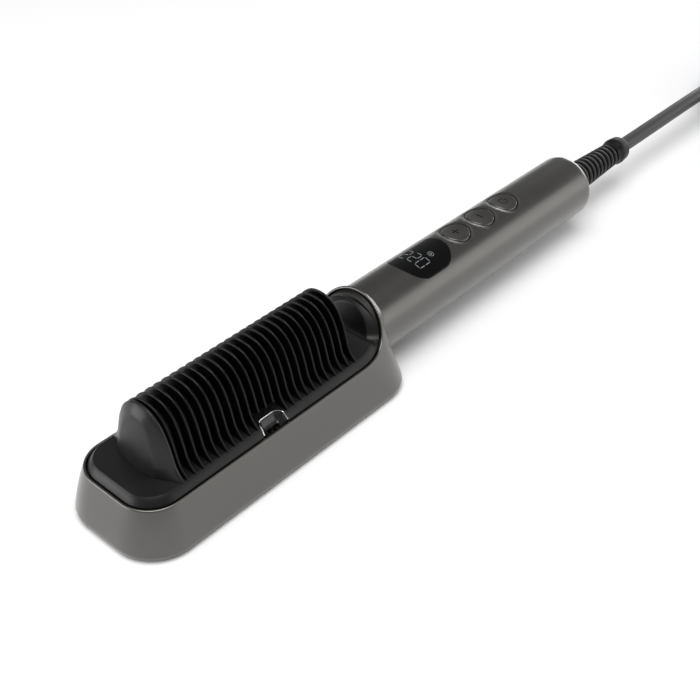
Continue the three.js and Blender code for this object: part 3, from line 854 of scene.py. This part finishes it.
def make_outlet():
    mouth = [(x, y - 0.6 if y < -19.5 else y) for x, y in outlet_outline(0.0)]
    cutter_rows = [[(x, y, z) for x, y in mouth] for z in (15.2, 26)]
    cut(bezel, loft("outlet_cutter", cutter_rows), sharp_degrees=28)
    ring = []
    for inset, lift in ((0.05, -3.0), (0.05, 0.32), (0.2, 0.5), (0.5, 0.5), (0.65, 0.32), (0.65, -3.0)):
        ring.append([(x, y, chamfer_z(y) + lift) for x, y in outlet_outline(inset)])
    rows = [[ring[k][i] for k in range(len(ring))] for i in range(len(ring[0]))]
    place(loft("ion_port_rim", rows), "handset", BRIGHT, "bright_steel", "ion_outlet_frame")
    middle = (OUTLET_X0 + OUTLET_X1) / 2
    cup_rows = []
    for inset, drop in ((0.7, 0.0), (0.9, 0.5), (1.6, 2.0), (2.4, 2.9), (3.2, 3.3)):
        cup_rows.append([(x, min(y, OUTLET_DEPTH - HEAD_HALF_WIDTH), chamfer_z(y) - drop)
                         for x, y in outlet_outline(min(inset, 3.0))])
    cup = loft("ion_port_cup", [[row[i] for row in cup_rows] for i in range(len(cup_rows[0]))],
               cap_first=False, cap_last=False, closed=False)
    floor = box("ion_port_floor", OUTLET_X0 + 1, OUTLET_X1 - 1, -19.6, -15.4, 15.4, 17.4)
    cut(floor, post("hole", middle, -17.2, 1.7, 16, 20, 40))
    shell_of_cup = join("ion_port_cup_shell", [cup, floor])
    place(shell_of_cup, "handset", CUP_BLACK, "gloss_black", "ion_outlet_cup")


make_outlet()
place(bezel, "handset", BEZEL_BLACK, "matt_black", "head_bezel")


# ---------------------------------------------------------------- handle
def handle_radius(x):
    return lerp(HANDLE_R0, HANDLE_R1, (x - HANDLE_START) / (HANDLE_END - HANDLE_START))


def skin_z(x, y, lift=0.0):
    """Height of the handle's upper surface, moved out along its radius by lift."""
    r = handle_radius(x) + lift
    return AXIS_Z + math.sqrt(max(0.0, r * r - y * y))


def display_outline(margin, per_corner=20):
    half, half_width = DISPLAY_LENGTH / 2 + margin, DISPLAY_WIDTH / 2 + margin
    corner = DISPLAY_CORNER + margin
    return rounded_rectangle(DISPLAY_X - half, DISPLAY_X + half, half_width, corner, per_corner)


def dish_cutter(x):
    """A round well whose shallow flared edge follows the curve of the handle."""
    rings = [(DISH_R + 0.5, 0.3), (DISH_R, 0.0), (DISH_R - 0.3, -0.03), (DISH_R - 0.65, -0.12),
             (DISH_R - 1.0, -0.24), (DISH_R - 1.3, -0.35), (WELL_R, -0.42), (WELL_R, -WELL_DEPTH)]
    circle = [(math.cos(a), math.sin(a)) for a in full_turn(BUTTON_SIDES)]
    wide = DISH_R + 0.5
    rows = [[(x + wide * c, wide * s, AXIS_Z + 20) for c, s in circle]]
    for r, lift in rings:
        rows.append([(x + r * c, r * s, skin_z(x, r * s, lift)) for c, s in circle])
    return loft("dish_cutter", rows, sharp_degrees=180)


def make_sleeve():
    stations = [HANDLE_START + 1.2 * i for i in range(124)]
    profile = [(x, handle_radius(x)) for x in stations]
    for degrees in range(0, 91, 9):
        a = math.radians(degrees)
        radius = handle_radius(HANDLE_END) - HANDLE_ROUND
        profile.append((HANDLE_END - HANDLE_ROUND * (1 - math.sin(a)), radius + HANDLE_ROUND * math.cos(a)))
    profile += [(HANDLE_END, 8.6), (HANDLE_END - 0.3, 8.3), (HANDLE_END - 3, 8.3)]
    sleeve = turned_x("handle_sleeve_skin", profile, 160)
    for index in range(3):
        cut(sleeve, dish_cutter(BUTTON_X + index * BUTTON_PITCH), sharp_degrees=40)
    rows = [[(x, y, z) for x, y in display_outline(0.04)] for z in (AXIS_Z + 4, AXIS_Z + 22)]
    cut(sleeve, loft("display_cutter", rows), sharp_degrees=40)
    return place(sleeve, "handset", GUNMETAL, "gunmetal", "handle_sleeve")


def draped_disc(name, outline, rings, depth):
    """A plate that follows the handle: outline shrunk ring by ring, with a lift for each ring."""
    edge_scale, edge_lift = rings[0]
    rows = [[(x, y, skin_z(x, y, edge_lift) - depth) for x, y in outline(edge_scale)]]
    rows += [[(x, y, skin_z(x, y, lift)) for x, y in outline(scale)] for scale, lift in rings]
    return loft(name, rows, cap_last=False, sharp_degrees=50)


def make_window():
    def outline(scale):
        return [(DISPLAY_X + (x - DISPLAY_X) * scale, y * scale) for x, y in display_outline(0.0)]

    rings = [(1.0, -0.1), (0.997, -0.02), (0.99, 0.0), (0.96, 0.0)]
    rings += [(0.96 - 0.08 * i, 0.0) for i in range(1, 12)]
    rings.append((0.01, 0.0))
    window = draped_disc("display_glass", outline, rings, 1.2)
    return place(window, "handset", DISPLAY_BLACK, "gloss_black", "display_window")


def button_icon(name, x):
    """Engraved sign, read across the handle: a plus, a minus or the round standby mark."""
    z0, z1 = AXIS_Z + 10, AXIS_Z + 18
    parts = []
    if name in ("plus", "minus"):
        parts.append(box("bar", x - 0.28, x + 0.28, -1.9, 1.9, z0, z1))
    if name == "plus":
        parts.append(box("bar", x - 1.9, x + 1.9, -0.28, 0.28, z0, z1))
    if name == "power":
        section = ((1.65, z0), (2.15, z0), (2.15, z1), (1.65, z1))
        rows = []
        for i in range(41):
            a = math.radians(lerp(35, 325, i / 40))
            rows.append([(x + r * math.cos(a), r * math.sin(a), z) for r, z in section])
        parts.append(loft("ring", rows))
        parts.append(box("bar", x + 0.6, x + 2.5, -0.26, 0.26, z0, z1))
    return parts


def make_button(name, index):
    x0 = BUTTON_X + index * BUTTON_PITCH

    def outline(scale):
        r = BUTTON_R * scale
        return [(x0 + r * math.cos(a), r * math.sin(a)) for a in full_turn(BUTTON_SIDES)]

    rings = [(1.0, -0.75), (0.995, -0.55), (0.975, -0.38), (0.94, -0.29), (0.9, -0.27)]
    bowl = (0.8, 0.7, 0.6, 0.5, 0.4, 0.3, 0.2, 0.1, 0.01)
    rings += [(s, -0.27 - 0.32 * (1 - (s / 0.9) ** 2)) for s in bowl]
    cap = draped_disc(f"{name}_key_cap", outline, rings, 3.0)
    for cutter in button_icon(name, x0):
        floor = cap.copy()
        floor.data = cap.data.copy()
        bpy.context.scene.collection.objects.link(floor)
        for vertex in floor.data.vertices:
            vertex.co.z -= ICON_DEPTH
        cut(cutter, floor, sharp_degrees=40)
        cut(cap, cutter, sharp_degrees=40)
    return place(cap, f"{name}_key", GUNMETAL, "gunmetal", f"{name}_button")


def segment_bar(x0, y0, x1, y1, wide):
    """A thin bar that follows the glass, from one end point to the other."""
    steps = 6
    line = Vector((x1 - x0, y1 - y0)).normalized()
    side = Vector((-line.y, line.x)) * wide / 2
    rows = []
    for i in range(steps + 1):
        t = i / steps
        x, y = lerp(x0, x1, t), lerp(y0, y1, t)
        pinch = 0.35 if i in (0, steps) else 1.0
        left = (x + side.x * pinch, y + side.y * pinch)
        right = (x - side.x * pinch, y - side.y * pinch)
        row = [(px, py, skin_z(px, py, 0.03)) for px, py in (left, right)]
        row += [(px, py, skin_z(px, py, -0.1)) for px, py in (right, left)]
        rows.append(row)
    return loft("segment", rows)


def make_digits():
    """Three generic seven-segment figures and a small ring icon, read across the handle."""
    tall, wide, pitch, base_x = 6.6, 3.0, 4.3, 155.2
    bars = []
    for place_index, figure in enumerate(READOUT):
        left = 5.6 - place_index * pitch
        right, low, middle, high = left - wide, base_x, base_x + tall / 2, base_x + tall
        ends = {
            "a": (high, left, high, right), "b": (high, right, middle, right),
            "c": (middle, right, low, right), "d": (low, left, low, right),
            "e": (low, left, middle, left), "f": (middle, left, high, left),
            "g": (middle, left, middle, right),
        }
        for key in SEGMENTS[figure]:
            x0, y0, x1, y1 = ends[key]
            start = (lerp(x0, x1, SEGMENT_GAP), lerp(y0, y1, SEGMENT_GAP))
            end = (lerp(x1, x0, SEGMENT_GAP), lerp(y1, y0, SEGMENT_GAP))
            bars.append(segment_bar(*start, *end, 0.24))
    cx, cy, r = 165.4, -3.2, 1.25
    for i in range(12):
        a, b = 2 * math.pi * i / 12, 2 * math.pi * (i + 0.9) / 12
        start = (cx + r * math.cos(a), cy + r * math.sin(a))
        end = (cx + r * math.cos(b), cy + r * math.sin(b))
        bars.append(segment_bar(*start, *end, 0.2))
    bars.append(segment_bar(cx - 0.7, cy, cx + 0.7, cy, 0.2))
    bars.append(segment_bar(cx, cy - 0.7, cx, cy + 0.7, 0.2))
    return place(join("display_figures", bars), "handset", DIGIT_GLOW, "gloss_black")


make_sleeve()
make_window()
make_digits()
for button_index, button_name in enumerate(("plus", "minus", "power")):
    make_button(button_name, button_index)


# ---------------------------------------------------------------- strain relief
def make_relief():
    start, ribs, pitch = HANDLE_END + 0.2, 11, 3.42
    profile = [(start, 7.3)]
    for rib in range(ribs):
        x = start + 1.4 + rib * pitch
        r = lerp(7.3, 5.75, rib / (ribs - 1))
        deep = r - 1.15
        profile += [(x, r), (x + 0.22, r - 0.12), (x + 0.34, r - 0.4), (x + 0.42, deep), (x + 1.3, deep),
                    (x + 1.38, r - 0.4), (x + 1.5, r - 0.12), (x + 1.72, r)]
    x = start + 1.4 + ribs * pitch
    collar = ((0, 5.72), (0.5, 5.85), (1.2, 6.2), (2.2, 6.45), (3.4, 6.45), (4.6, 6.3))
    profile += [(x + along, radius) for along, radius in collar]
    for degrees in (0, 20, 40, 60, 80, 90):
        a = math.radians(degrees)
        profile.append((RELIEF_END - 1.7 + 1.7 * math.sin(a), 4.5 + 1.6 * math.cos(a)))
    relief = turned_x("cord_relief", profile, 80, sharp_degrees=38)
    return place(relief, "cord_swivel", RUBBER, "black_rubber", "strain_relief")


make_relief()

# ---------------------------------------------------------------- pieces that keep their CAD shape
INNER_FINISHES = {
    "bright_steel": BRIGHT, "inner_plastic": INNER_GREY, "circuit_board": BOARD_GREEN, "ceramic": CERAMIC,
    "matt_black": BEZEL_BLACK, "gloss_black": CUP_BLACK, "black_rubber": RUBBER, "cord_grey": CORD_GREY,
    "coated_aluminium": HEATER_DARK, "gunmetal": GUNMETAL,
}
slot_of = {row["node"]: row["material_slot"] for row in frame["record"]["subparts"]}
for node_name, node in frame["nodes"].items():
    node.data.materials.clear()
    node.data.materials.append(INNER_FINISHES[slot_of[node_name]])
